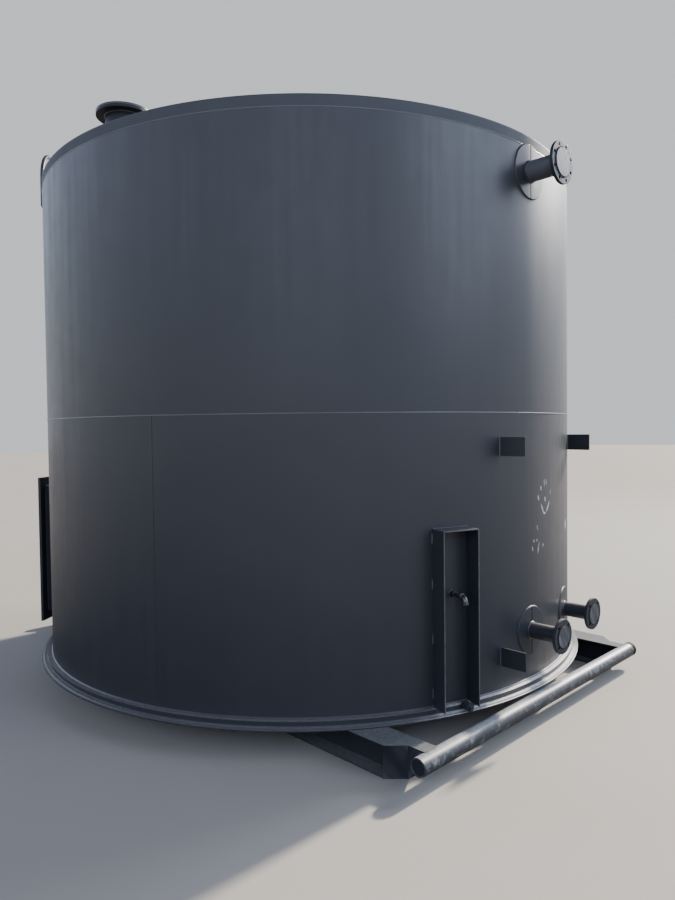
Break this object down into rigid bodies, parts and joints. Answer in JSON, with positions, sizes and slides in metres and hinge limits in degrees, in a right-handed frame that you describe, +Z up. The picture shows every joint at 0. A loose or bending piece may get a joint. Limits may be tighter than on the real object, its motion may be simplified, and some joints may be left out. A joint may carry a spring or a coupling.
{
  "type": "vertical storage tank",
  "caption": "Upright welded steel storage tank for process liquids, on a drag skid, with a double bottom, flanged nozzles, a bolted cleanout, a gauge guard box and a low cone roof.",
  "frame": {"origin": "on the tank's vertical axis at ground level, at the centre of the middle cross member's underside", "axes": "+X along the skid runners towards the end with the outlet nozzles, square to the flange faces of the inlet and the outlet; +Z up"},
  "size_m": [3.9968, 3.79, 3.5828],
  "materials": {
    "shell_paint": "charcoal semi-gloss paint on rolled plate",
    "roof_paint": "charcoal semi-gloss paint on thin roof plate",
    "bottom_paint": "charcoal semi-gloss paint on floor plate edges",
    "skid_paint": "charcoal semi-gloss paint on rolled sections and pipe",
    "nozzle_paint": "charcoal semi-gloss paint on forged flanges and pipe",
    "fitting_paint": "charcoal semi-gloss paint on welded plate fittings",
    "galvanised": "galvanised threaded pipe fittings"
  },
  "bodies": {
    "root": {"runner_left": "skid_paint", "runner_right": "skid_paint", "cross_member_rear": "skid_paint", "cross_member_middle": "skid_paint", "cross_member_front": "skid_paint", "crossbar_rear": "skid_paint", "crossbar_front": "skid_paint", "crossbar_cap_rear_left": "skid_paint", "crossbar_cap_rear_right": "skid_paint", "crossbar_cap_front_left": "skid_paint", "crossbar_cap_front_right": "skid_paint", "deck_plate": "bottom_paint", "lower_bottom": "bottom_paint", "leak_layer": "bottom_paint", "upper_bottom": "bottom_paint", "leak_port": "fitting_paint", "lower_shell_front": "shell_paint", "lower_shell_back": "shell_paint", "upper_shell_front": "shell_paint", "upper_shell_back": "shell_paint", "rim_band": "fitting_paint", "roof_deck": "roof_paint", "hatch_neck": "fitting_paint", "hatch_lid": "fitting_paint", "inlet_pad": "nozzle_paint", "inlet_neck": "nozzle_paint", "inlet_flange": "nozzle_paint", "inlet_blank": "nozzle_paint", "outlet_pad": "nozzle_paint", "outlet_neck": "nozzle_paint", "outlet_flange": "nozzle_paint", "outlet_blank": "nozzle_paint", "drain_pad": "nozzle_paint", "drain_neck": "nozzle_paint", "drain_flange": "nozzle_paint", "drain_blank": "nozzle_paint", "cleanout_frame": "fitting_paint", "cleanout_cover": "fitting_paint", "guard_side_left": "fitting_paint", "guard_side_right": "fitting_paint", "guard_top": "fitting_paint", "gauge_cock": "galvanised", "clip_lower_left": "fitting_paint", "clip_upper_left": "fitting_paint", "clip_upper_right": "fitting_paint", "grab_hoop": "fitting_paint"}
  },
  "joints": []
}
